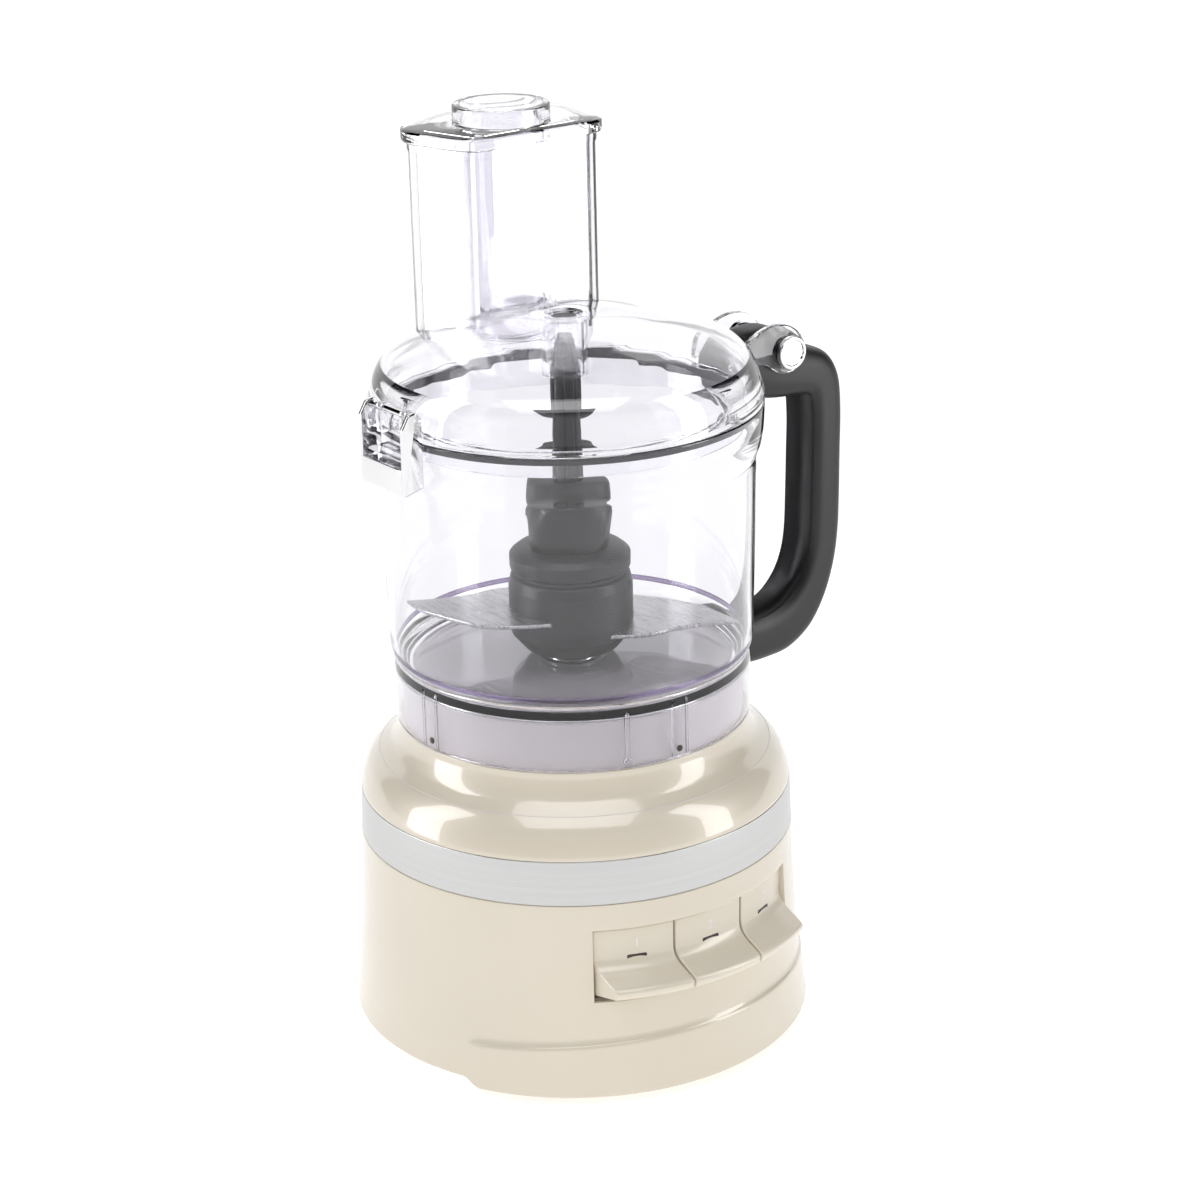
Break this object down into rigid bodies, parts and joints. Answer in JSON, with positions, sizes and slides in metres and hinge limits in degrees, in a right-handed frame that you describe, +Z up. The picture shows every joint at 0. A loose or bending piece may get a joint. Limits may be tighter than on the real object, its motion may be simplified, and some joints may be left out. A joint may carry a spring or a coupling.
{
  "type": "food processor",
  "caption": "Compact food processor: cream motor base with push paddles, clear bowl with side handle, hinged latching lid, feed tube with nested pushers and a twin crescent blade.",
  "frame": {"origin": "the point where the spindle axis meets the table, at the middle of the centre foot", "axes": "+Z up along the spindle; -Y is the front, where the paddles are; +X is the side with the bowl handle and lid hinge; -X is the lid latch"},
  "size_m": [0.2614, 0.2187, 0.419],
  "materials": {
    "cream_plastic": "glossy cream moulding",
    "cream_button": "glossy cream moulding",
    "clear_plastic": "clear polycarbonate",
    "black_plastic": "satin black moulding",
    "dark_lens": "smoked indicator lens",
    "silver_plastic": "satin silver-grey moulding",
    "blade_steel": "brushed stainless steel",
    "band_steel": "brushed stainless steel, grain round the band",
    "bright_chrome": "polished chrome plate",
    "shaft_steel": "ground steel",
    "zinc_steel": "zinc-plated steel",
    "core_steel": "varnished laminations",
    "copper": "copper",
    "black_rubber": "rubber",
    "clear_seal": "dark silicone ring",
    "board_green": "coated circuit board"
  },
  "bodies": {
    "base": {"lower_housing": "cream_plastic", "paddle_well": "cream_plastic", "trim_band": "band_steel", "top_collar": "cream_plastic", "pedestal": "silver_plastic", "base_plate": "cream_plastic", "feet": "black_rubber", "base_screws": "zinc_steel", "motor_bracket": "zinc_steel", "bracket_screws": "zinc_steel", "spindle_bearings": "shaft_steel", "spindle_seal": "black_rubber", "motor_stator": "core_steel", "field_coils": "copper", "motor_frame": "zinc_steel", "motor_screws": "zinc_steel", "brush_holders": "black_plastic", "motor_bearings": "shaft_steel", "drive_belt": "black_rubber", "control_board": "board_green", "board_screws": "zinc_steel", "paddle_switches": "black_plastic", "interlock_switch": "black_plastic", "cord_gland": "black_plastic"},
    "rotor": {"motor_shaft": "shaft_steel", "motor_pulley": "zinc_steel", "armature_core": "core_steel", "commutator": "copper", "cooling_fan": "black_plastic"},
    "spindle": {"spindle_shaft": "shaft_steel", "spindle_pulley": "black_plastic", "drive_coupler": "shaft_steel", "shaft_clip": "zinc_steel"},
    "bowl_unit": {"bowl": "clear_plastic", "handle": "black_plastic", "handle_screws": "zinc_steel", "grip_liner": "black_plastic", "hinge_pin": "shaft_steel", "hinge_caps": "bright_chrome"},
    "blade_unit": {"blade_hub": "black_plastic", "hub_cap": "black_plastic", "drive_stem": "black_plastic", "blade_upper": "blade_steel", "blade_lower": "blade_steel"},
    "lid_unit": {"lid": "clear_plastic", "lid_seal": "clear_seal", "stem_bush": "black_plastic", "latch_rod": "bright_chrome"},
    "latch_clip": {"latch": "bright_chrome"},
    "food_pusher": {"feed_pusher": "clear_plastic"},
    "inner_pusher": {"small_pusher": "clear_plastic"},
    "button_1": {"paddle_1": "cream_button", "light_lens_1": "dark_lens"},
    "button_2": {"paddle_2": "cream_button", "light_lens_2": "dark_lens"},
    "button_0": {"paddle_0": "cream_button", "light_lens_0": "dark_lens"}
  },
  "joints": [
    {"name": "motor_spin", "type": "hinge", "parent": "base", "child": "rotor", "pos_m": [0, 0.056, 0.06], "axis": [0, 0, 1], "continuous": true},
    {"name": "spindle_spin", "type": "hinge", "parent": "base", "child": "spindle", "pos_m": [0, 0, 0.1], "axis": [0, 0, 1], "continuous": true},
    {"name": "bowl_lift", "type": "slide", "parent": "base", "child": "bowl_unit", "axis": [0, 0, 1], "range_m": [0, 0.12]},
    {"name": "blade_spin", "type": "hinge", "parent": "bowl_unit", "child": "blade_unit", "pos_m": [0, 0, 0.2], "axis": [0, 0, 1], "continuous": true},
    {"name": "lid_hinge", "type": "hinge", "parent": "bowl_unit", "child": "lid_unit", "pos_m": [0.1155, 0, 0.296], "axis": [0, 1, 0], "range_deg": [0, 95]},
    {"name": "latch_swing", "type": "hinge", "parent": "lid_unit", "child": "latch_clip", "pos_m": [-0.0905, 0, 0.3045], "axis": [0, 1, 0], "range_deg": [0, 75]},
    {"name": "pusher_lift", "type": "slide", "parent": "lid_unit", "child": "food_pusher", "axis": [0, 0, 1], "range_m": [0, 0.12]},
    {"name": "inner_pusher_lift", "type": "slide", "parent": "food_pusher", "child": "inner_pusher", "axis": [0, 0, 1], "range_m": [0, 0.12]},
    {"name": "press_1", "type": "hinge", "parent": "base", "child": "button_1", "pos_m": [-0.03482, -0.08839, 0.08], "axis": [0.9304, -0.3665, 0], "range_deg": [0, 3], "stiffness_Nm_per_rad": 1},
    {"name": "press_2", "type": "hinge", "parent": "base", "child": "button_2", "pos_m": [0, -0.095, 0.08], "axis": [1, 0, 0], "range_deg": [0, 3], "stiffness_Nm_per_rad": 1},
    {"name": "press_0", "type": "hinge", "parent": "base", "child": "button_0", "pos_m": [0.03482, -0.08839, 0.08], "axis": [0.9304, 0.3665, 0], "range_deg": [0, 3], "stiffness_Nm_per_rad": 1}
  ],
  "couplings": [
    {"joint": "spindle_spin", "follows": "motor_spin", "ratio": 0.33333},
    {"joint": "blade_spin", "follows": "motor_spin", "ratio": 0.33333}
  ]
}
